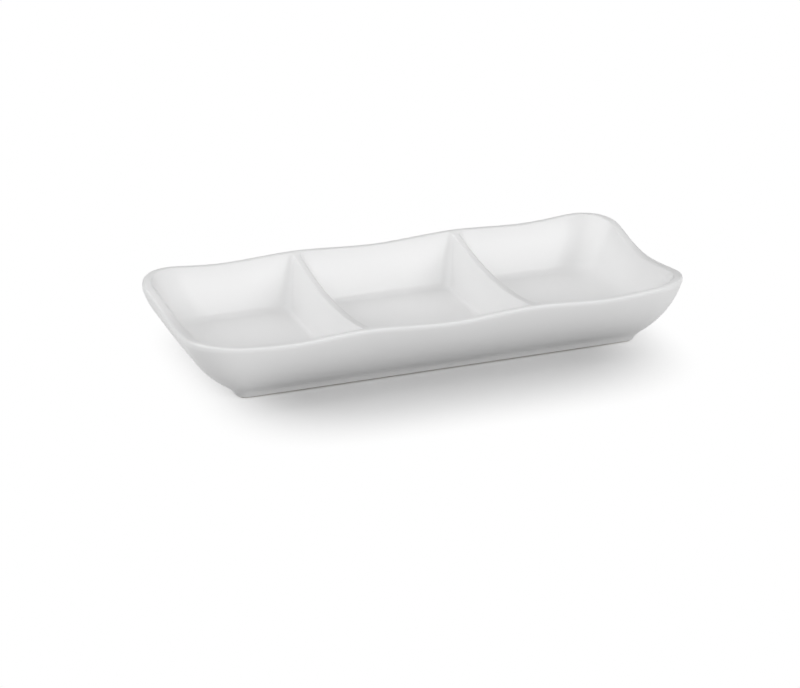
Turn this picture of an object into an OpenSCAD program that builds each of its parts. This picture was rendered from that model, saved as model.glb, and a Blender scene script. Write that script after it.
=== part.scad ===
// Serving dish with three wells in a row, glazed all over except on the ring it stands on.

/* [Dish] */
// length over the rim
dish_length = 250; // [220:1:300]
// width over the rim
dish_width = 111; // [100:1:140]
// height of the rim at the corners
dish_height = 33.7; // [29:0.1:45]
// corner radius of the rim, seen from above
rim_corner_radius = 21.6; // [17:0.2:28]
// thickness of the rim along the long sides
rim_thickness = 3.7; // [2.8:0.1:5]
// thickness of the rim along the ends
end_rim_thickness = 5.2; // [3.5:0.1:6.5]
// squareness of the tops of the rim and the dividers: 2 is a half round, more is flatter
top_squareness = 4; // [2:0.1:5]

/* [Rim wave] */
// drop of the rim beside the middle of the centre well
centre_dip = 2.7; // [0:0.1:5]
// drop of the rim where a divider meets it
divider_dip = 0.7; // [0:0.1:3]
// drop of the rim beside the middle of an outer well
outer_dip = 2.3; // [0:0.1:5]
// distance of that drop from mid length
outer_dip_place = 79.7; // [70:0.1:100]
// drop of the rim at the middle of each end
end_dip = 4.6; // [0:0.1:7]
// how far the rim swells out at the corners
corner_swell = 0.6; // [0:0.1:2]
// how far the rim swells out beside the wells
side_swell = 0.3; // [0:0.1:2]
// how far the rim draws in at the middle of each end
end_draw = 1.1; // [0:0.1:3]

/* [Dividers] */
// distance between the two divider crests
divider_spacing = 84.5; // [64:0.5:100]
// thickness of a divider at its crest
divider_thickness = 3.9; // [2.8:0.1:5]
// sag of a divider's crest below the rim, at mid width
divider_sag = 6.2; // [0:0.1:10]

/* [Wells] */
// height of the well floors above the table
floor_height = 8; // [6.5:0.1:10]
// how far a long wall leans in from rim to floor
side_lean = 10.5; // [8:0.1:13]
// how far an end wall leans in from rim to floor
end_lean = 12; // [9:0.1:15]
// how far a divider face leans in from crest to floor
divider_lean = 6.1; // [3:0.1:9]
// reach of the fillet between a long wall and the floor
side_fillet = 3.2; // [2:0.1:6]
// reach of the fillet between an end wall and the floor
end_fillet = 11; // [4:0.1:13]
// reach of the fillet between a divider and the floor
divider_fillet = 2.8; // [2:0.1:6]
// corner radius of a well's mouth beside a divider
mouth_corner_radius = 2.2; // [1.5:0.1:8]
// corner radius of a well's floor beside a divider
inner_floor_radius = 8; // [7:0.1:12]
// corner radius of a well's floor at a corner of the dish
outer_floor_radius = 18; // [15:0.1:22]

/* [Outer wall and foot] */
// length over the foot ring
foot_length = 202.4; // [190:0.2:215]
// width over the foot ring
foot_width = 77.8; // [70:0.2:82]
// corner radius of the foot ring
foot_corner_radius = 4.5; // [3:0.1:16]
// height of the foot ring's outer face
foot_height = 4.1; // [2.5:0.1:5]
// how far the foot ring's outer face flares out to its top
foot_flare = 2; // [0.5:0.1:3]
// width of the foot ring
foot_ring_width = 4.2; // [3:0.1:6]
// depth of the recess inside the foot ring
recess_depth = 2.6; // [1.5:0.1:3.5]
// how far the foot ring's inner face leans in to the recess
recess_lean = 2.4; // [0.5:0.1:4]
// corner radius of the recess at its full depth
recess_corner_radius = 3; // [1:0.1:10]
// how full the outer wall's belly is, as a share of its run
belly_out = 0.764; // [0.5:0.001:0.95]
// how high the belly sits, as a share of the wall's rise
belly_up = 0.358; // [0.2:0.001:0.6]

/* [Glaze] */
// thickness of the glaze
glaze_thickness = 0.35; // [0.2:0.05:0.6]
// height of the bare band at the bottom of the foot ring
bare_height = 0.9; // [0.5:0.1:1.3]
// clay ground off under the foot ring to make it stand flat
ground_off = 1; // [0.5:0.1:2]

/* [Hidden] */

// steps along one quarter of the rim, from the middle of a long side to the middle of an end
centre_steps = 6;
junction_steps = 4;
outer_steps = 7;
corner_steps = 8;
end_steps = 5;
// steps along a divider between its two junctions, up the outer wall, round an edge and round a fillet
divider_steps = 6;
wall_steps = 6;
edge_steps = 3;
fillet_steps = 4;

// half sizes, and half the width over the middle of the rim's thickness
long_half = dish_length / 2;
wide_half = dish_width / 2;
side_half = rim_thickness / 2;
end_half = end_rim_thickness / 2;
line_width = wide_half - side_half;
divider_place = divider_spacing / 2;
divider_half = divider_thickness / 2;

// spacing of the points on both sides of a junction
rim_stride = (divider_half + mouth_corner_radius) / (junction_steps / 2);
divider_stride = (side_half + mouth_corner_radius) / (junction_steps / 2);

// where each stretch of the quarter ends
side_end = long_half - rim_corner_radius;
arc_run = rim_corner_radius * PI / 2;
end_run = wide_half - rim_corner_radius;
junction_at = centre_steps + junction_steps / 2;
arc_at = centre_steps + junction_steps + outer_steps;
end_at = arc_at + corner_steps;
quarter = end_at + end_steps;
ring_size = 4 * quarter;

// distances along the quarter at which the wave of the rim is set
wave_at = [
    0,
    divider_place,
    outer_dip_place,
    side_end + arc_run / 2,
    side_end + arc_run + end_run
];
wave_drop = [centre_dip, divider_dip, outer_dip, 0, end_dip];
wave_out = [side_swell, 0, side_swell, corner_swell, -end_draw];

// foot ring
foot_long = foot_length / 2;
foot_wide = foot_width / 2;

// numbers of points in the sheet under the foot ring
base_middle = 2 * ring_size;
base_size = base_middle + 1;

// numbers of points in the sheet from the foot ring over the rim to the well floors
crest_ring = wall_steps + edge_steps + 1;
ring_count = crest_ring + 1;
divider_count = junction_steps + divider_steps - 1;
well_rings = edge_steps + fillet_steps + 1;
centre_well_size = 4 * junction_steps + 4 * centre_steps + 2 * divider_steps;
outer_well_size = 2 * (junction_steps + outer_steps + corner_steps + end_steps) + divider_steps;
divider_start = ring_count * ring_size;
centre_well_start = divider_start + 2 * divider_count;
right_well_start = centre_well_start + well_rings * centre_well_size;
left_well_start = right_well_start + well_rings * outer_well_size;
middles_start = left_well_start + well_rings * outer_well_size;
top_size = middles_start + 3;

function ease(t) = t * t * (3 - 2 * t);

function mix(a, b, t) = a + (b - a) * t;

// value of the wave at a distance along the quarter
function wave(values, run, k = 0) =
    k == len(values) - 2 || run <= wave_at[k + 1]
    ? mix(values[k], values[k + 1], ease((run - wave_at[k]) / (wave_at[k + 1] - wave_at[k])))
    : wave(values, run, k + 1);

// distance from mid length of a point on the rim's long side
function side_place(i) =
    i <= centre_steps
    ? i / centre_steps * (divider_place - rim_stride * junction_steps / 2)
    : i <= centre_steps + junction_steps
    ? divider_place + (i - junction_at) * rim_stride
    : mix(divider_place + rim_stride * junction_steps / 2, side_end,
        (i - centre_steps - junction_steps) / outer_steps);

// distance along the rim's quarter
function run_at(i) =
    i <= arc_at ? side_place(i)
    : i <= end_at ? side_end + arc_run * (i - arc_at) / corner_steps
    : side_end + arc_run + end_run * (i - end_at) / end_steps;

// point and outward direction on a quarter of a rounded rectangle
function quarter_point(i, long, wide, radius) =
    i <= arc_at
    ? [side_place(i) / side_end * (long - radius), wide, 0, 1]
    : i <= end_at
    ? let (turn = 90 * (1 - (i - arc_at) / corner_steps))
        [long - radius + radius * cos(turn), wide - radius + radius * sin(turn), cos(turn), sin(turn)]
    : [long, (wide - radius) * (1 - (i - end_at) / end_steps), 1, 0];

// place in the quarter and the signs that mirror it round the whole loop
function folded(i) =
    i <= quarter ? [i, 1, 1]
    : i <= 2 * quarter ? [2 * quarter - i, 1, -1]
    : i <= 3 * quarter ? [i - 2 * quarter, -1, -1]
    : [4 * quarter - i, -1, 1];

function mirrored(point, fold) =
    [point[0] * fold[1], point[1] * fold[2], point[2] * fold[1], point[3] * fold[2]];

function loop_point(i, long, wide, radius) =
    let (fold = folded(i)) mirrored(quarter_point(fold[0], long, wide, radius), fold);

function flat_ring(long, wide, radius, height) =
    [for (i = [0 : ring_size - 1])
        let (p = loop_point(i, long, wide, radius)) [p[0], p[1], height]];

// middle of the rim's thickness, with its outward direction and half the thickness
function rim_place(i) =
    let (p = loop_point(i, long_half, wide_half, rim_corner_radius),
        place = folded(i)[0],
        run = run_at(place),
        half = mix(side_half, end_half, ease(max(0, min(1, (place - arc_at) / corner_steps)))),
        out = wave(wave_out, run) - half)
    [p[0] + p[2] * out, p[1] + p[3] * out,
        dish_height - half - wave(wave_drop, run), p[2], p[3], half];

rim_line = [for (i = [0 : ring_size - 1]) rim_place(i)];
junction_top = dish_height - divider_dip;

// share across and up on the rounded top of a rim or divider, going on as a round past a right angle
function top_share(turn) =
    let (power = turn < 90 ? 2 / top_squareness : 1)
    [pow(sin(turn), power), sign(cos(turn)) * pow(abs(cos(turn)), power)];

// how far that top turns before it runs on into a wall of this lean
function top_end(lean) =
    let (power = top_squareness / (2 * top_squareness - 2))
    atan2(pow(cos(lean), power), pow(sin(lean), power));

// point of the outer wall's top edge, which leans with the wall
function rim_edge(middle, reach, turn) =
    let (share = reach * top_share(turn))
    [middle[0] + middle[3] * share[0], middle[1] + middle[4] * share[0], middle[2] + share[1]];

function wall_lean(foot, edge, rise) =
    atan2((1 - belly_out) * norm([edge[0] - foot[0], edge[1] - foot[1]]), (1 - belly_up) * rise);

function outer_point(i, step, inset) =
    let (middle = rim_line[i],
        reach = middle[5] - inset,
        foot = loop_point(i, foot_long + foot_flare - inset, foot_wide + foot_flare - inset,
            foot_corner_radius + foot_flare - inset),
        lean = wall_lean(foot, rim_edge(middle, reach, 90), middle[2] - foot_height))
    step > wall_steps
    ? rim_edge(middle, reach, (90 + lean) * (1 - (step - wall_steps) / edge_steps))
    : let (edge = rim_edge(middle, reach, 90 + lean),
        t = step / wall_steps,
        out = 2 * t * (1 - t) * belly_out + t * t,
        up = 2 * t * (1 - t) * belly_up + t * t)
        [mix(foot[0], edge[0], out), mix(foot[1], edge[1], out), mix(foot_height, edge[2], up)];

// inner and outer faces of the foot ring
function ring_inside(height, inset) =
    let (lean = recess_lean * height / recess_depth - inset,
        back = foot_ring_width + lean)
    flat_ring(foot_long - back, foot_wide - back, recess_corner_radius + recess_lean - lean, height);

function ring_outside(height, inset) =
    let (out = foot_flare * height / foot_height - inset)
    flat_ring(foot_long + out, foot_wide + out, foot_corner_radius + out, height);

// crest of a divider, from back to front, without its two ends
function divider_crest(side, inset) =
    let (reach = divider_stride * junction_steps / 2)
    [for (k = [1 : divider_count])
        let (y = k <= junction_steps / 2 ? line_width - k * divider_stride
            : k >= divider_count + 1 - junction_steps / 2
            ? (divider_count + 1 - k) * divider_stride - line_width
            : mix(line_width - reach, reach - line_width, (k - junction_steps / 2) / divider_steps))
        [side * divider_place, y, junction_top - divider_sag * (1 - pow(y / line_width, 2)) - inset]];

// corner and straight of a well's loop: place, outward direction, fillet, and 1 beside the rim
function well_corner(x, y, radius, from, steps, fillet_in, fillet_out, follows) =
    [for (k = [0 : steps])
        let (turn = from - 90 * k / steps)
        [x + radius * cos(turn), y + radius * sin(turn), cos(turn), sin(turn),
            mix(fillet_in, fillet_out, ease(k / steps)), follows]];

function well_straight(from, to, steps, follows) =
    [for (k = [1 : steps - 1])
        [mix(from[0], to[0], k / steps), mix(from[1], to[1], k / steps),
            from[2], from[3], from[4], follows]];

// loop clockwise from the back left corner; ends and radii are [left, right]
function well_loop(ends, wide, radii, fillets, corners, sides, follows) =
    let (left = ends[0] + radii[0],
        right = ends[1] - radii[1],
        back_left = well_corner(left, wide - radii[0], radii[0], 180, corners[0],
            fillets[0], side_fillet, follows[0]),
        back_right = well_corner(right, wide - radii[1], radii[1], 90, corners[1],
            side_fillet, fillets[1], follows[1]),
        front_right = well_corner(right, radii[1] - wide, radii[1], 0, corners[1],
            fillets[1], side_fillet, follows[1]),
        front_left = well_corner(left, radii[0] - wide, radii[0], -90, corners[0],
            side_fillet, fillets[0], follows[0]))
    concat(
        back_left, well_straight(back_left[corners[0]], back_right[0], sides[1], 1),
        back_right, well_straight(back_right[corners[1]], front_right[0], sides[2], follows[1]),
        front_right, well_straight(front_right[corners[1]], front_left[0], sides[1], 1),
        front_left, well_straight(front_left[corners[0]], back_left[0], sides[0], follows[0])
    );

function rotated(list, by) = [for (i = [0 : len(list) - 1]) list[(i + by) % len(list)]];

// a well's place is -1 for left, 0 for centre, 1 for right
function well_shape(place, ends, wide, grow, radii) =
    place == 0
    ? rotated(well_loop(ends + [-grow, grow], wide + grow, radii + [grow, grow],
        [divider_fillet, divider_fillet], [junction_steps, junction_steps],
        [divider_steps, 2 * centre_steps, divider_steps], [0, 0]), junction_steps / 2)
    : place == 1
    ? rotated(well_loop(ends + [-grow, grow], wide + grow, radii + [grow, grow],
        [divider_fillet, end_fillet], [junction_steps, corner_steps],
        [divider_steps, outer_steps, 2 * end_steps], [0, 1]), junction_steps / 2)
    : rotated(well_loop(ends + [-grow, grow], wide + grow, radii + [grow, grow],
        [end_fillet, divider_fillet], [corner_steps, junction_steps],
        [2 * end_steps, outer_steps, divider_steps], [1, 0]),
        corner_steps + outer_steps + junction_steps / 2);

function well_ends(place, from_divider, from_end) =
    place == 0 ? [from_divider - divider_place, divider_place - from_divider]
    : place == 1 ? [divider_place + from_divider, long_half - from_end]
    : [from_end - long_half, -divider_place - from_divider];

function well_radii(place, inner, outer) =
    place == 0 ? [inner, inner] : place == 1 ? [inner, outer] : [outer, inner];

// point of one ring of a well, from its crest down to its floor
function well_point(step, crest, reach, mouth, floor, inset) =
    let (edge = mouth[5] == 1
            ? [crest[0] - mouth[2] * reach, crest[1] - mouth[3] * reach, crest[2] - reach]
            : [mouth[0], mouth[1], crest[2] - reach],
        base = [floor[0], floor[1], floor_height - inset],
        lean = atan2(norm([edge[0] - base[0], edge[1] - base[1]]), edge[2] - base[2]),
        share = top_share(top_end(lean) * min(step / edge_steps, 1)),
        wall = [mix(crest[0], edge[0], share[0]), mix(crest[1], edge[1], share[0]),
            mix(edge[2], crest[2], share[1])])
    step <= edge_steps ? wall
    : let (up = base + (wall - base) * floor[4] / norm(wall - base),
        flat = base - floor[4] * [floor[2], floor[3], 0],
        t = (step - edge_steps - 1) / fillet_steps)
        up * (1 - t) * (1 - t) + base * 2 * t * (1 - t) + flat * t * t;

function well_points(place, crests, inset) =
    let (mouth = well_shape(place,
            well_ends(place, divider_half, end_rim_thickness),
            wide_half - rim_thickness,
            inset, well_radii(place, mouth_corner_radius, rim_corner_radius - rim_thickness)),
        floor = well_shape(place,
            well_ends(place, divider_half + divider_lean, end_rim_thickness + end_lean),
            wide_half - rim_thickness - side_lean,
            inset, well_radii(place, inner_floor_radius, outer_floor_radius)),
        numbers = crest_numbers(0, place))
    [for (step = [1 : well_rings], k = [0 : len(numbers) - 1])
        well_point(step, crests[numbers[k]], crest_half(numbers[k]) - inset, mouth[k], floor[k], inset)];

// half the thickness at a numbered point of a rim's or divider's crest
function crest_half(number) =
    number < divider_start ? rim_line[number - crest_ring * ring_size][5] : divider_half;

// numbers of the points along a ring, a divider's crest and a well's mouth
function span(start, count) = [for (k = [0 : count - 1]) start + k];

function ring(start, k) = span(start + k * ring_size, ring_size);

function back_to_front(start, side) =
    span(start + divider_start + (side > 0 ? divider_count : 0), divider_count);

function reversed(list) = [for (k = [len(list) - 1 : -1 : 0]) list[k]];

function crest_numbers(start, place) =
    let (crest = start + crest_ring * ring_size,
        rear = 4 * quarter - junction_at)
    place == 0
    ? concat(span(crest + rear, junction_at), span(crest, junction_at + 1), back_to_front(start, 1),
        span(crest + 2 * quarter - junction_at, 2 * junction_at + 1), reversed(back_to_front(start, -1)))
    : place == 1
    ? concat(span(crest + junction_at, 2 * (quarter - junction_at) + 1), reversed(back_to_front(start, 1)))
    : concat([crest + rear], back_to_front(start, -1),
        span(crest + 2 * quarter + junction_at, 2 * (quarter - junction_at)));

// points of a sheet: the glaze's outside at no inset, the body at the glaze's thickness
function top_points(inset) =
    let (rim_and_dividers = concat(
        ring_outside(bare_height, inset),
        [for (step = [0 : wall_steps + edge_steps], i = [0 : ring_size - 1]) outer_point(i, step, inset)],
        divider_crest(-1, inset),
        divider_crest(1, inset)))
    concat(rim_and_dividers,
        [for (place = [0, 1, -1])
            each well_points(place, rim_and_dividers, inset)],
        [for (place = [0, 1, -1])
            [place * (divider_place + long_half - end_half) / 2, 0, floor_height - inset]]);

function base_points(inset) = concat(
    ring_inside(recess_depth, inset) + [for (i = [1 : ring_size]) [0, 0, inset]],
    ring_inside(bare_height, inset),
    [[0, 0, recess_depth + inset]]
);

// two triangles for each step between two rings
function band(from, to) =
    [for (i = [0 : len(from) - 1])
        let (j = (i + 1) % len(from))
        each [[from[i], from[j], to[j]], [from[i], to[j], to[i]]]];

// triangles from a ring to the point in its middle
function fan(from, middle) =
    [for (i = [0 : len(from) - 1]) [from[i], from[(i + 1) % len(from)], middle]];

function well_faces(start, first, size, place) =
    let (rings = concat([crest_numbers(start, place)],
            [for (k = [0 : well_rings - 1]) span(start + first + k * size, size)]),
        middle = start + middles_start + (place == 0 ? 0 : place == 1 ? 1 : 2))
    concat([for (k = [0 : well_rings - 1]) each band(rings[k], rings[k + 1])],
        fan(rings[well_rings], middle));

function top_faces(start) = concat(
    [for (k = [0 : crest_ring - 1]) each band(ring(start, k), ring(start, k + 1))],
    well_faces(start, centre_well_start, centre_well_size, 0),
    well_faces(start, right_well_start, outer_well_size, 1),
    well_faces(start, left_well_start, outer_well_size, -1)
);

function base_faces(start) = concat(
    fan(reversed(ring(start, 0)), start + base_middle),
    band(ring(start, 0), ring(start, 1))
);

function turned(faces) = [for (face = faces) reversed(face)];

module porcelain_body() {
    base_start = top_size;
    foot_start = base_start + base_size;
    color([0.93, 0.92, 0.88])
        difference() {
            polyhedron(
                points = concat(
                    top_points(glaze_thickness),
                    base_points(glaze_thickness),
                    ring_inside(-ground_off, glaze_thickness),
                    ring_outside(-ground_off, glaze_thickness)
                ),
                faces = concat(
                    top_faces(0),
                    base_faces(base_start),
                    band(ring(base_start, 1), ring(foot_start, 0)),
                    band(ring(foot_start, 0), ring(foot_start, 1)),
                    band(ring(foot_start, 1), ring(0, 0))
                )
            );
            translate([-foot_length, -foot_width, -2 * ground_off])
                cube([2 * foot_length, 2 * foot_width, 2 * ground_off]);
        }
}

module glaze_coat() {
    color([0.97, 0.97, 0.96])
        polyhedron(
            points = concat(top_points(0), top_points(glaze_thickness)),
            faces = concat(
                top_faces(0),
                turned(top_faces(top_size)),
                band(ring(top_size, 0), ring(0, 0))
            )
        );
}

module base_glaze() {
    color([0.97, 0.97, 0.96])
        polyhedron(
            points = concat(base_points(0), base_points(glaze_thickness)),
            faces = concat(
                base_faces(0),
                turned(base_faces(base_size)),
                band(ring(0, 1), ring(base_size, 1))
            )
        );
}

porcelain_body();
glaze_coat();
base_glaze();
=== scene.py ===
import math

import bpy
import numpy as np
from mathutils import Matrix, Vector


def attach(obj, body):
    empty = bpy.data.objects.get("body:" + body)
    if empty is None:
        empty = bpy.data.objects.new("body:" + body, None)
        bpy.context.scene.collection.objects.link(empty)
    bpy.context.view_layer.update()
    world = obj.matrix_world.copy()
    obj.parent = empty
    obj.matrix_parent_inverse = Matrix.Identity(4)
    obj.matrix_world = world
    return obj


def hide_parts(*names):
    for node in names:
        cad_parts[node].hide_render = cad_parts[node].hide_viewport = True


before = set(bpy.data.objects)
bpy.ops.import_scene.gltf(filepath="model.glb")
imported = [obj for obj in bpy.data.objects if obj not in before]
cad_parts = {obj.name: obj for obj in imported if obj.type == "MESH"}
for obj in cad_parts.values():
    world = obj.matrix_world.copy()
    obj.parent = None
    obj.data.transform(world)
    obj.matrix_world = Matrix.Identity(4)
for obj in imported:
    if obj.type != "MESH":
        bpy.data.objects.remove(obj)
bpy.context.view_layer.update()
mm = 0.001

# The dish in mm, with the same names for the same sizes as in the CAD
dish = {
    "length": 250.0,
    "width": 111.0,
    "height": 33.7,
    "rimCornerRadius": 21.6,
    "rimThickness": 3.7,  # along the long sides
    "endRimThickness": 5.2,
    "topSquareness": 4.0,  # of the rim's and dividers' tops: 2 is a half round, more is flatter
    "centreDip": 2.7,
    "dividerDip": 0.7,
    "outerDip": 2.3,
    "outerDipPlace": 79.7,
    "endDip": 4.6,
    "cornerSwell": 0.6,
    "sideSwell": 0.3,
    "endDraw": 1.1,
    "dividerSpacing": 84.5,
    "dividerThickness": 3.9,
    "dividerSag": 6.2,
    "floorHeight": 8.0,
    "sideLean": 10.5,
    "endLean": 12.0,
    "dividerLean": 6.1,
    "sideFillet": 3.2,
    "endFillet": 11.0,
    "dividerFillet": 2.8,
    "mouthCornerRadius": 2.2,
    "innerFloorRadius": 8.0,
    "outerFloorRadius": 18.0,
    "footLength": 202.4,
    "footWidth": 77.8,
    "footCornerRadius": 4.5,
    "footHeight": 4.1,
    "footFlare": 2.0,
    "footRingWidth": 4.2,
    "recessDepth": 2.6,
    "recessLean": 2.4,
    "recessCornerRadius": 3.0,
    "bellyOut": 0.764,
    "bellyUp": 0.358,
    "glazeThickness": 0.35,
    "bareHeight": 0.9,
    "footCrease": 3.0,  # softening where the wall meets the foot
    "footCreaseEnd": 0.15,  # share of the wall's curve at which it ends
    "recessCreaseStart": 0.97,  # softening in the recess: share of the way out at which it starts
    "recessCreaseEnd": 0.45,  # and share of the way down at which it ends
    "footEdge": 0.85,  # softening of the ground foot's edges
}
# Mesh steps along each stretch; junction stays even
steps = {
    "centre": 22,
    "junction": 8,
    "outer": 28,
    "corner": 24,
    "end": 18,
    "divider": 24,
    "wall": 20,
    "edge": 12,
    "wellWall": 4,
    "fillet": 10,
    "floor": 4,
    "crease": 6,
    "footEdge": 4,
}

longHalf, wideHalf, cornerRadius = dish["length"] / 2, dish["width"] / 2, dish["rimCornerRadius"]
sideHalf = dish["rimThickness"] / 2
endHalf = dish["endRimThickness"] / 2
dividerHalf = dish["dividerThickness"] / 2
lineWidth = wideHalf - sideHalf
dividerPlace = dish["dividerSpacing"] / 2
halfJunction = steps["junction"] // 2
sideEnd = longHalf - cornerRadius
arcRun = cornerRadius * math.pi / 2
junctionAt = steps["centre"] + halfJunction
quarterSize = steps["centre"] + steps["junction"] + steps["outer"] + steps["corner"] + steps["end"]
ringSize = 4 * quarterSize


def ease(t):
    return t * t * (3 - 2 * t)


def mix(a, b, t):
    return a + (b - a) * t


# A curve from a to c, drawn towards b
def curve(a, b, c, t):
    return a * (1 - t) ** 2 + b * 2 * t * (1 - t) + c * t * t


# Places along the long side: evenly to the junction, close together round it, evenly to the corner
rimReach = dividerHalf + dish["mouthCornerRadius"]
dividerReach = sideHalf + dish["mouthCornerRadius"]
sidePlaces = np.concatenate([
    np.linspace(0, dividerPlace - rimReach, steps["centre"] + 1),
    np.linspace(dividerPlace - rimReach, dividerPlace + rimReach, steps["junction"] + 1)[1:],
    np.linspace(dividerPlace + rimReach, sideEnd, steps["outer"] + 1)[1:],
])
cornerShare = np.linspace(0, 1, steps["corner"] + 1)[1:]
endShare = np.linspace(0, 1, steps["end"] + 1)[1:]
quarterRun = np.concatenate([
    sidePlaces,
    sideEnd + arcRun * cornerShare,
    sideEnd + arcRun + (wideHalf - cornerRadius) * endShare,
])


# A quarter's rows mirrored round the whole loop, clockwise from the middle of the back
def wholeLoop(quarter, signs):
    ahead, back = quarter[:-1], quarter[:0:-1]
    return np.concatenate([
        ahead,
        back * signs(1, -1),
        ahead * signs(-1, -1),
        back * signs(-1, 1),
    ])


# The same for one plain value a row
def wholeValues(quarter):
    return wholeLoop(quarter[:, None], lambda x, y: 1)[:, 0]


# Places and outward directions on a rounded rectangle
def loop(long, wide, radius):
    turn = (1 - cornerShare) * math.pi / 2
    one, zero = np.ones_like, np.zeros_like
    side = np.stack([
        sidePlaces / sideEnd * (long - radius),
        one(sidePlaces) * wide,
        zero(sidePlaces),
        one(sidePlaces),
    ], 1)
    corner = np.stack([
        long - radius + radius * np.cos(turn),
        wide - radius + radius * np.sin(turn),
        np.cos(turn),
        np.sin(turn),
    ], 1)
    end = np.stack([
        one(endShare) * long,
        (wide - radius) * (1 - endShare),
        one(endShare),
        zero(endShare),
    ], 1)
    rows = wholeLoop(np.concatenate([side, corner, end]), lambda x, y: np.array([x, y, x, y]))
    return rows[:, :2], rows[:, 2:]


# Height and outward swell of the rim at set distances along the quarter
waveAt = np.array([
    0,
    dividerPlace,
    dish["outerDipPlace"],
    sideEnd + arcRun / 2,
    sideEnd + arcRun + wideHalf - cornerRadius,
])
waveDrop = np.array([dish["centreDip"], dish["dividerDip"], dish["outerDip"], 0, dish["endDip"]])
waveOut = np.array([dish["sideSwell"], 0, dish["sideSwell"], dish["cornerSwell"], -dish["endDraw"]])


def wave(values):
    k = np.clip(np.searchsorted(waveAt, quarterRun) - 1, 0, len(waveAt) - 2)
    share = ease((quarterRun - waveAt[k]) / (waveAt[k + 1] - waveAt[k]))
    return wholeValues(mix(values[k], values[k + 1], share))


# Half the rim's thickness round the dish, and the line along its middle
rimHalves = wholeValues(np.concatenate([
    np.full(len(sidePlaces), sideHalf),
    mix(sideHalf, endHalf, ease(cornerShare)),
    np.full(len(endShare), endHalf),
]))
rimPlan, rimOutward = loop(longHalf, wideHalf, cornerRadius)
rimPlan = rimPlan + rimOutward * (wave(waveOut) - rimHalves)[:, None]
rimMiddle = dish["height"] - rimHalves - wave(waveDrop)
junctionTop = dish["height"] - dish["dividerDip"]


def points(plan, height):
    return np.column_stack([plan, np.broadcast_to(height, len(plan))])


# A rounded top's share across and up; past a right angle it goes on as a round
def topArc(turn):
    power = np.where(turn < math.pi / 2, 2 / dish["topSquareness"], 1)
    return np.sin(turn) ** power, np.sign(np.cos(turn)) * np.abs(np.cos(turn)) ** power


# How far that top turns before it runs on into a wall of this lean
def topEnd(lean):
    power = dish["topSquareness"] / (2 * dish["topSquareness"] - 2)
    return np.arctan2(np.cos(lean) ** power, np.sin(lean) ** power)


# The foot's plan, grown outwards
def footPlanAt(out):
    long, wide = dish["footLength"] / 2 + out, dish["footWidth"] / 2 + out
    plan, _ = loop(long, wide, dish["footCornerRadius"] + out)
    return plan


def footRing(height, inset):
    return points(footPlanAt(dish["footFlare"] * height / dish["footHeight"] - inset), height)


def recessRing(height, inset, rise=0.0):
    lean = dish["recessLean"] * height / dish["recessDepth"] - inset
    back = dish["footRingWidth"] + lean
    radius = dish["recessCornerRadius"] + dish["recessLean"] - lean
    plan, _ = loop(dish["footLength"] / 2 - back, dish["footWidth"] / 2 - back, radius)
    return points(plan, height + rise)


# Rings up the outside, from the glaze line on the foot to the crest of the rim
def outerRings(inset):
    reach = rimHalves - inset
    rise = rimMiddle - dish["footHeight"]
    footPlan = footPlanAt(dish["footFlare"] - inset)
    run = np.linalg.norm(rimPlan + rimOutward * reach[:, None] - footPlan, axis=1)
    lean = np.arctan2((1 - dish["bellyOut"]) * run, (1 - dish["bellyUp"]) * rise)
    topPlan = rimPlan + rimOutward * (reach * np.cos(lean))[:, None]
    topHeight = rimMiddle - reach * np.sin(lean)

    def wallAt(t):
        out = 2 * t * (1 - t) * dish["bellyOut"] + t * t
        up = 2 * t * (1 - t) * dish["bellyUp"] + t * t
        return points(mix(footPlan, topPlan, out), mix(dish["footHeight"], topHeight, up))

    line = footRing(dish["bareHeight"], inset)
    corner = wallAt(0.0)
    below = corner + (line - corner) * dish["footCrease"] / (dish["footHeight"] - dish["bareHeight"])
    above = wallAt(dish["footCreaseEnd"])
    rings = [line]
    for t in np.linspace(0, 1, steps["crease"] + 1):
        rings.append(curve(below, corner, above, t))
    for t in np.linspace(dish["footCreaseEnd"], 1, steps["wall"] + 1)[1:]:
        rings.append(wallAt(t))
    for t in np.linspace(0, 1, steps["edge"] + 1)[1:]:
        across, up = topArc((math.pi / 2 + lean) * (1 - t))
        rings.append(points(rimPlan + rimOutward * (reach * across)[:, None], rimMiddle + reach * up))
    return rings


# Crest of a divider from back to front, without its two ends
def dividerCrest(side, inset):
    y = np.concatenate([
        np.linspace(lineWidth, lineWidth - dividerReach, halfJunction + 1)[1:],
        np.linspace(lineWidth - dividerReach, dividerReach - lineWidth, steps["divider"] + 1)[1:],
        np.linspace(dividerReach - lineWidth, -lineWidth, halfJunction + 1)[1:-1],
    ])
    height = junctionTop - dish["dividerSag"] * (1 - (y / lineWidth) ** 2) - inset
    return np.column_stack([np.full(len(y), side * dividerPlace), y, height])


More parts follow.
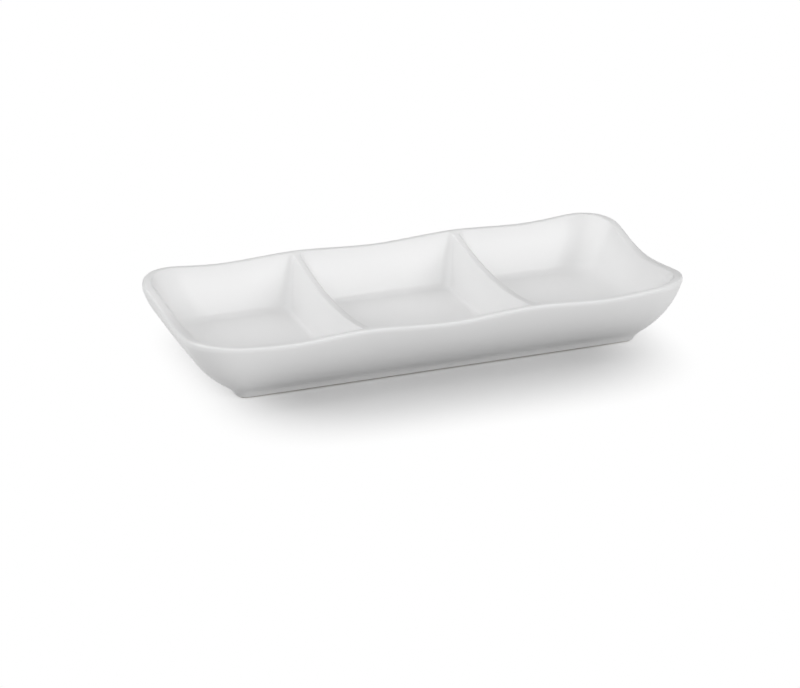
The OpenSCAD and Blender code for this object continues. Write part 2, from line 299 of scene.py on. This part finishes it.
# A well's loop, clockwise from its back left corner. Each row holds a place, an outward direction,
# a fillet, and 1 where the well lies beside the rim.
def wellLoop(ends, wide, radii, fillets, corners, sides, follows):
    middles = [
        (ends[0] + radii[0], wide - radii[0], 180, 0),
        (ends[1] - radii[1], wide - radii[1], 90, 1),
        (ends[1] - radii[1], radii[1] - wide, 0, 1),
        (ends[0] + radii[0], radii[0] - wide, -90, 0),
    ]
    arcs = []
    for number, (x, y, start, side) in enumerate(middles):
        share = np.linspace(0, 1, corners[side] + 1)
        turn = np.radians(start - 90 * share)
        pair = (fillets[side], dish["sideFillet"])
        first, last = pair if number % 2 == 0 else pair[::-1]
        arcs.append(np.column_stack([
            x + radii[side] * np.cos(turn), y + radii[side] * np.sin(turn), np.cos(turn), np.sin(turn),
            mix(first, last, ease(share)), np.full(len(share), follows[side])]))
    rows = []
    for number, (count, follow) in enumerate(zip(sides, (1, follows[1], 1, follows[0]))):
        here, there = arcs[number], arcs[(number + 1) % 4]
        share = np.linspace(0, 1, count + 1)[1:-1, None]
        straight = np.repeat(here[-1:], count - 1, 0)
        straight[:, :2] = mix(here[-1, :2], there[0, :2], share)
        straight[:, 5] = follow
        rows += [here, straight]
    return np.concatenate(rows)


# place is -1 for the left well, 0 for the centre one and 1 for the right one
def wellShape(place, fromDivider, fromEnd, wide, grow, inner, outer):
    near, far = dividerPlace - fromDivider, longHalf - fromEnd
    ends = {
        0: (-near, near),
        1: (dividerPlace + fromDivider, far),
        -1: (-far, -dividerPlace - fromDivider),
    }[place]
    radii = {0: (inner, inner), 1: (inner, outer), -1: (outer, inner)}[place]
    atDivider, atEnd = dish["dividerFillet"], dish["endFillet"]
    fillets = {0: (atDivider, atDivider), 1: (atDivider, atEnd), -1: (atEnd, atDivider)}[place]
    small, large = steps["junction"], steps["corner"]
    corners = {0: (small, small), 1: (small, large), -1: (large, small)}[place]
    across, along = steps["divider"], steps["centre"] * 2 if place == 0 else steps["outer"]
    sides = {
        0: (along, across, along, across),
        1: (along, 2 * steps["end"], along, across),
        -1: (along, across, along, 2 * steps["end"]),
    }[place]
    follows = {0: (0, 0), 1: (0, 1), -1: (1, 0)}[place]
    grownEnds = (ends[0] - grow, ends[1] + grow)
    grownRadii = (radii[0] + grow, radii[1] + grow)
    rows = wellLoop(grownEnds, wide + grow, grownRadii, fillets, corners, sides, follows)
    start = halfJunction if place >= 0 else steps["corner"] + steps["outer"] + halfJunction
    return np.roll(rows, -start, axis=0)


# Rings of one well from just inside its crest down to its floor
def wellRings(place, crest, halves, inset):
    rim, endRim = dish["rimThickness"], dish["endRimThickness"]
    mouth = wellShape(
        place, dividerHalf, endRim, wideHalf - rim,
        inset, dish["mouthCornerRadius"], cornerRadius - rim)
    floor = wellShape(
        place, dividerHalf + dish["dividerLean"], endRim + dish["endLean"],
        wideHalf - rim - dish["sideLean"], inset, dish["innerFloorRadius"], dish["outerFloorRadius"])
    reach = halves - inset
    plan = np.where(mouth[:, 5:] == 1, crest[:, :2] - mouth[:, 2:4] * reach[:, None], mouth[:, :2])
    edge = points(plan, crest[:, 2] - reach)
    base = points(floor[:, :2], dish["floorHeight"] - inset)
    lean = np.arctan2(np.linalg.norm(edge[:, :2] - base[:, :2], axis=1), edge[:, 2] - base[:, 2])
    rings = []
    for t in np.linspace(0, 1, steps["edge"] + 1)[1:]:
        across, up = topArc((topEnd(lean) * t)[:, None])
        rings.append(np.column_stack([
            mix(crest[:, :2], edge[:, :2], across), mix(crest[:, 2:], edge[:, 2:], 1 - up)]))
    wall = rings[-1] - base
    fillet = floor[:, 4:5]
    up = base + wall * fillet / np.linalg.norm(wall, axis=1)[:, None]
    flat = base - np.column_stack([floor[:, 2:4] * fillet, np.zeros(len(floor))])
    for t in np.linspace(0, 1, steps["wellWall"] + 1)[1:-1]:
        rings.append(mix(rings[steps["edge"] - 1], up, t))
    for t in np.linspace(0, 1, steps["fillet"] + 1):
        rings.append(curve(up, base, flat, t))
    middle = np.array([place * (dividerPlace + longHalf - endHalf) / 2, 0, dish["floorHeight"] - inset])
    for t in np.linspace(0, 1, steps["floor"] + 1)[1:-1]:
        rings.append(mix(flat, middle, t))
    return rings, middle


def bandFaces(here, there):
    return np.column_stack([here, there, np.roll(there, -1), np.roll(here, -1)]).tolist()


def fanFaces(here, middle):
    return [[a, middle, b] for a, b in zip(here, np.roll(here, -1))]


# Numbers of the crest's points round one well, in the order of its loop
def crestNumbers(place, crestStart, dividerStart, dividerSize):
    ring = crestStart + np.arange(ringSize)
    left = dividerStart + np.arange(dividerSize)
    right = left + dividerSize
    rear, half = ringSize - junctionAt, 2 * quarterSize
    if place == 0:
        front = ring[half - junctionAt : half + junctionAt + 1]
        return np.concatenate([ring[rear:], ring[: junctionAt + 1], right, front, left[::-1]])
    if place == 1:
        return np.concatenate([ring[junctionAt : half - junctionAt + 1], right[::-1]])
    return np.concatenate([ring[rear : rear + 1], left, ring[half + junctionAt : rear]])


# Everything from the glaze line on the foot's outside over the rim to the well floors
def topSheet(inset):
    rings = outerRings(inset)
    dividers = [dividerCrest(-1, inset), dividerCrest(1, inset)]
    places = np.concatenate(rings + dividers)
    halves = np.concatenate([np.tile(rimHalves, len(rings)), np.full(2 * len(dividers[0]), dividerHalf)])
    faces = []
    for k in range(len(rings) - 1):
        faces += bandFaces(np.arange(ringSize) + k * ringSize, np.arange(ringSize) + (k + 1) * ringSize)
    crestStart = (len(rings) - 1) * ringSize
    dividerStart = len(rings) * ringSize
    for place in (0, 1, -1):
        numbers = crestNumbers(place, crestStart, dividerStart, len(dividers[0]))
        inner, middle = wellRings(place, places[numbers], halves[numbers], inset)
        for ring in inner:
            fresh = len(places) + np.arange(len(ring))
            places = np.concatenate([places, ring])
            faces += bandFaces(numbers, fresh)
            numbers = fresh
        places = np.concatenate([places, middle[None]])
        faces += fanFaces(numbers, len(places) - 1)
    return places, faces, np.arange(ringSize)


# Everything inside the foot ring, from the middle of the recess to the glaze line
def baseSheet(inset):
    deep = dish["recessDepth"]
    middle = np.array([0, 0, deep + inset])
    edge = recessRing(deep, inset, inset)
    line = recessRing(dish["bareHeight"], inset)
    rings = [mix(middle, edge, t) for t in np.linspace(0, 1, steps["floor"] + 1)[1:-1]]
    inward = mix(middle, edge, dish["recessCreaseStart"])
    down = mix(edge, line, dish["recessCreaseEnd"])
    for t in np.linspace(0, 1, steps["crease"] + 1):
        rings.append(curve(inward, edge, down, t))
    rings.append(line)
    places = np.concatenate([middle[None]] + rings)
    numbers = 1 + np.arange(ringSize)
    faces = [face[::-1] for face in fanFaces(numbers, 0)]
    for k in range(len(rings) - 1):
        faces += bandFaces(numbers, numbers + ringSize)
        numbers = numbers + ringSize
    return places, faces, numbers


def flipped(faces, start):
    return [[n + start for n in face[::-1]] for face in faces]


def makePiece(name, places, faces):
    mesh = bpy.data.meshes.new(name)
    mesh.from_pydata((places * mm).tolist(), [], [[int(n) for n in face] for face in faces])
    mesh.validate()
    mesh.update()
    mesh.polygons.foreach_set("use_smooth", np.ones(len(mesh.polygons), bool))
    piece = bpy.data.objects.new(name, mesh)
    bpy.context.scene.collection.objects.link(piece)
    return piece


# A coat between its outer sheet and the body's surface, closed along the glaze line
def makeCoat(name, sheet, lineFirst):
    outside, faces, line = sheet(0.0)
    inside, innerFaces, _ = sheet(dish["glazeThickness"])
    start = len(outside)
    faces = faces + flipped(innerFaces, start)
    faces += bandFaces(line, line + start) if lineFirst else bandFaces(line + start, line)
    return makePiece(name, np.concatenate([outside, inside]), faces)


def makeBody(name):
    inset = dish["glazeThickness"]
    top, topFaces, topLine = topSheet(inset)
    base, baseFaces, baseLine = baseSheet(inset)
    soft = dish["footEdge"]
    quarterTurn = np.linspace(0, math.pi / 2, steps["footEdge"] + 1)
    foot = [recessRing(soft * (1 - math.sin(a)), inset - soft * (1 - math.cos(a))) for a in quarterTurn]
    foot += [footRing(soft * (1 - math.cos(a)), inset + soft * (1 - math.sin(a))) for a in quarterTurn]
    places = np.concatenate([top, base] + foot)
    faces = topFaces + [[n + len(top) for n in face] for face in baseFaces]
    numbers = baseLine + len(top)
    for k in range(len(foot)):
        fresh = len(top) + len(base) + k * ringSize + np.arange(ringSize)
        faces += bandFaces(numbers, fresh)
        numbers = fresh
    faces += bandFaces(numbers, topLine)
    return makePiece(name, places, faces)


glazeCoat = makeCoat("glazeCoat", topSheet, False)
baseGlaze = makeCoat("baseGlaze", baseSheet, True)
porcelainBody = makeBody("porcelainBody")
print("pieces made:", {p.name: len(p.data.polygons) for p in (glazeCoat, baseGlaze, porcelainBody)})


# An sRGB hex code as a linear colour
def linear(code):
    parts = [int(code[k : k + 2], 16) / 255 for k in (1, 3, 5)]
    return [p / 12.92 if p <= 0.04045 else ((p + 0.055) / 1.055) ** 2.4 for p in parts] + [1.0]


# Adds a node, sets its inputs and properties, and links other nodes' outputs into it
def addNode(tree, kind, inputs=None, links=None, **properties):
    made = tree.nodes.new(kind)
    for key, value in properties.items():
        setattr(made, key, value)
    for key, value in (inputs or {}).items():
        made.inputs[key].default_value = value
    for key, output in (links or {}).items():
        tree.links.new(output, made.inputs[key])
    return made


def newMaterial(name):
    material = bpy.data.materials.new(name)
    material.use_nodes = True
    material.node_tree.nodes.clear()
    return material, material.node_tree


# Noise over the object with features of one size in mm
def addNoise(tree, size, detail):
    place = addNode(tree, "ShaderNodeTexCoord").outputs["Object"]
    settings = {"Scale": 1 / (size * mm), "Detail": detail}
    return addNode(tree, "ShaderNodeTexNoise", settings, {"Vector": place}).outputs["Fac"]


def addBump(tree, height, strength, depth):
    settings = {"Strength": strength, "Distance": depth * mm}
    return addNode(tree, "ShaderNodeBump", settings, {"Height": height}).outputs["Normal"]


# A colour between two hex codes
def addTone(tree, low, high, share):
    settings = {"A": linear(low), "B": linear(high)}
    return addNode(tree, "ShaderNodeMix", settings, {"Factor": share}, data_type="RGBA").outputs["Result"]


# Glazed porcelain, dipped and fired: white under a clear satin skin, soft highlights with a faint ripple
glazeLook = {
    "white": "#ebebeb",
    "thin": "#e7e7e7",
    "poolSize": 40.0,  # mm, where the glaze lies thicker
    "poolDetail": 1.0,
    "rippleSize": 9.0,  # mm
    "rippleDetail": 2.0,
    "rippleStrength": 1.0,
    "rippleDepth": 0.012,  # mm
    "roughness": 0.34,
    "ior": 1.5,
}


def makeGlaze():
    material, tree = newMaterial("white porcelain glaze")
    ripple = addNoise(tree, glazeLook["rippleSize"], glazeLook["rippleDetail"])
    pool = addNoise(tree, glazeLook["poolSize"], glazeLook["poolDetail"])
    tone = addTone(tree, glazeLook["thin"], glazeLook["white"], pool)
    bump = addBump(tree, ripple, glazeLook["rippleStrength"], glazeLook["rippleDepth"])
    surface = addNode(
        tree, "ShaderNodeBsdfPrincipled", {"Roughness": glazeLook["roughness"], "IOR": glazeLook["ior"]},
        {"Base Color": tone, "Normal": bump})
    addNode(tree, "ShaderNodeOutputMaterial", links={"Surface": surface.outputs["BSDF"]})
    return material


# Bare fired porcelain, ground flat: matte, a little warmer than the glaze, with fine grit
bareLook = {
    "light": "#dedbd3",
    "dark": "#cbc6bb",
    "gritSize": 0.6,  # mm
    "gritDetail": 4.0,
    "gritStrength": 0.4,
    "gritDepth": 0.05,  # mm
    "roughness": 0.75,
}


def makeBare():
    material, tree = newMaterial("bare fired porcelain")
    grit = addNoise(tree, bareLook["gritSize"], bareLook["gritDetail"])
    tone = addTone(tree, bareLook["dark"], bareLook["light"], grit)
    bump = addBump(tree, grit, bareLook["gritStrength"], bareLook["gritDepth"])
    surface = addNode(
        tree, "ShaderNodeBsdfPrincipled", {"Roughness": bareLook["roughness"]},
        {"Base Color": tone, "Normal": bump})
    addNode(tree, "ShaderNodeOutputMaterial", links={"Surface": surface.outputs["BSDF"]})
    return material


glaze, bare = makeGlaze(), makeBare()
for piece, material, node, slotName in (
    (glazeCoat, glaze, "glaze_coat", "white_glaze"),
    (baseGlaze, glaze, "base_glaze", "white_glaze"),
    (porcelainBody, bare, "porcelain_body", "fired_porcelain"),
):
    piece.data.materials.append(material)
    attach(piece, "root")
    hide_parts(node)
print("materials given and CAD nodes replaced")

# Studio paper: even and matte. It throws back the light of grey paper, with painted shade close to the
# dish, and shows as white, fading to plain white away from the foot, so the shadow stays and the background
# is clean.
floorLook = {
    "size": 8.0,  # m
    "white": "#ebebeb",
    "thrownBack": "#c0c0c0",
    "paintedShadeBack": "#7a7a7a",  # painted shade: darker thrown-back light close to the dish, standing for its shadow on the paper
    "fadeOval": (126.0, 99.0),  # mm to the ends and to the front, where the paper is plain white
    "fadeForward": 12.0,  # mm by which the oval lies nearer the front
    "fadeStart": 0.3,  # as a share of the oval, squared
    "roughness": 0.9,
    "sheen": 0.0,
}


# 1 for the rays that show a thing to the camera, straight or in a reflection
def shownRays(tree):
    path = addNode(tree, "ShaderNodeLightPath").outputs
    shown = path["Is Camera Ray"]
    for name in ("Is Glossy Ray", "Is Transmission Ray"):
        either = addNode(tree, "ShaderNodeMath", None, {0: shown, 1: path[name]}, operation="MAXIMUM")
        shown = either.outputs["Value"]
    return shown


# How plain the paper is at each place: 0 by the dish, 1 outside a squared oval
def addFade(tree):
    def step(operation, inputs, links):
        return addNode(tree, "ShaderNodeVectorMath", inputs, links, operation=operation).outputs

    place = addNode(tree, "ShaderNodeTexCoord").outputs["Object"]
    share = [1 / (reach * mm) for reach in floorLook["fadeOval"]] + [0]
    moved = step("ADD", {1: (0, floorLook["fadeForward"] * mm, 0)}, {0: place})["Vector"]
    scaled = step("MULTIPLY", {1: share}, {0: moved})["Vector"]
    squared = step("MULTIPLY", None, {0: scaled, 1: scaled})["Vector"]
    away = step("LENGTH", None, {0: squared})["Value"]
    fade = addNode(
        tree, "ShaderNodeMapRange", {"From Min": floorLook["fadeStart"]}, {"Value": away},
        interpolation_type="SMOOTHSTEP")
    return fade.outputs["Result"]


def makeFloor():
    half = floorLook["size"] / 2
    corners = [(-half, -half, 0), (half, -half, 0), (half, half, 0), (-half, half, 0)]
    mesh = bpy.data.meshes.new("studioFloor")
    mesh.from_pydata(corners, [], [(0, 1, 2, 3)])
    floor = bpy.data.objects.new("studioFloor", mesh)
    bpy.context.scene.collection.objects.link(floor)
    material, tree = newMaterial("white studio paper")
    fade = addFade(tree)
    shown = shownRays(tree)
    fadeShown = addNode(tree, "ShaderNodeMath", None, {0: fade, 1: shown}, operation="MULTIPLY")
    # Painted shade: the paper throws back darker light close to the dish, where its shadow lies
    thrownWithPaintedShade = addTone(tree, floorLook["paintedShadeBack"], floorLook["thrownBack"], fade)
    tone = addNode(
        tree, "ShaderNodeMix", {"B": linear(floorLook["white"])}, {"Factor": shown, "A": thrownWithPaintedShade},
        data_type="RGBA")
    matte = {"Roughness": floorLook["roughness"], "Specular IOR Level": floorLook["sheen"]}
    paper = addNode(tree, "ShaderNodeBsdfPrincipled", matte, {"Base Color": tone.outputs["Result"]})
    plain = addNode(tree, "ShaderNodeEmission", {"Color": (1, 1, 1, 1), "Strength": 1.0})
    surface = addNode(
        tree, "ShaderNodeMixShader", None,
        {0: fadeShown.outputs["Value"], 1: paper.outputs["BSDF"], 2: plain.outputs["Emission"]})
    addNode(tree, "ShaderNodeOutputMaterial", links={"Surface": surface.outputs["Shader"]})
    mesh.materials.append(material)


makeFloor()


# Direction from the dish, by an azimuth from the front towards the right and an elevation, in degrees
def direction(setting):
    turn, tilt = math.radians(setting["azimuth"]), math.radians(setting["elevation"])
    level = math.cos(tilt)
    return Vector((math.sin(turn) * level, -math.cos(turn) * level, math.sin(tilt)))


# Plain soft studio light: a wide box in front, one at each side, one above from behind, and a little light
# from all round
studio = {
    "ambient": 0.05,
    "distance": 2.2,  # m
    "boxes": [
        {"name": "frontBox", "azimuth": 8, "elevation": 24, "size": (3.2, 1.4), "watts": 41.5},
        {"name": "leftBox", "azimuth": -110, "elevation": 34, "size": (2.8, 2.0), "watts": 35.0},
        {"name": "rightBox", "azimuth": 90, "elevation": 30, "size": (2.4, 1.8), "watts": 11.0},
        {"name": "topBox", "azimuth": 180, "elevation": 66, "size": (3.2, 2.4), "watts": 17.0},
    ],
}


def makeLights():
    world = bpy.data.worlds.new("studioWorld")
    bpy.context.scene.world = world
    world.use_nodes = True
    tree = world.node_tree
    tree.nodes.clear()
    evenWhite = {"Color": (1, 1, 1, 1), "Strength": studio["ambient"]}
    background = addNode(tree, "ShaderNodeBackground", evenWhite)
    addNode(tree, "ShaderNodeOutputWorld", links={"Surface": background.outputs["Background"]})
    for box in studio["boxes"]:
        towards = direction(box)
        light = bpy.data.lights.new(box["name"], "AREA")
        light.shape = "RECTANGLE"
        light.size, light.size_y = box["size"]
        light.energy = box["watts"]
        lamp = bpy.data.objects.new(box["name"], light)
        lamp.location = towards * studio["distance"]
        lamp.rotation_euler = towards.to_track_quat("Z", "Y").to_euler()
        bpy.context.scene.collection.objects.link(lamp)


makeLights()

# Camera at the photograph's angle, found from the dish's outlines, in degrees and mm
view = {
    "azimuth": -20.555,
    "elevation": 22.747,
    "distance": 1468.9,
    "right": -6.264,
    "up": -1.759,
    "lens": 135.4,
    "sensorWidth": 36.0,
}


def makeCamera():
    turn = math.radians(view["azimuth"])
    back = direction(view)
    right = Vector((math.cos(turn), math.sin(turn), 0))
    camera = bpy.data.objects.new("photoCamera", bpy.data.cameras.new("photoCamera"))
    camera.data.lens = view["lens"]
    camera.data.sensor_width = view["sensorWidth"]
    aim = right * view["right"] + back.cross(right) * view["up"]
    camera.location = (aim + back * view["distance"]) * mm
    camera.rotation_euler = back.to_track_quat("Z", "Y").to_euler()
    bpy.context.scene.collection.objects.link(camera)
    bpy.context.scene.camera = camera


makeCamera()
bpy.context.scene.view_settings.view_transform = "Standard"
print("stage, lights and camera set")
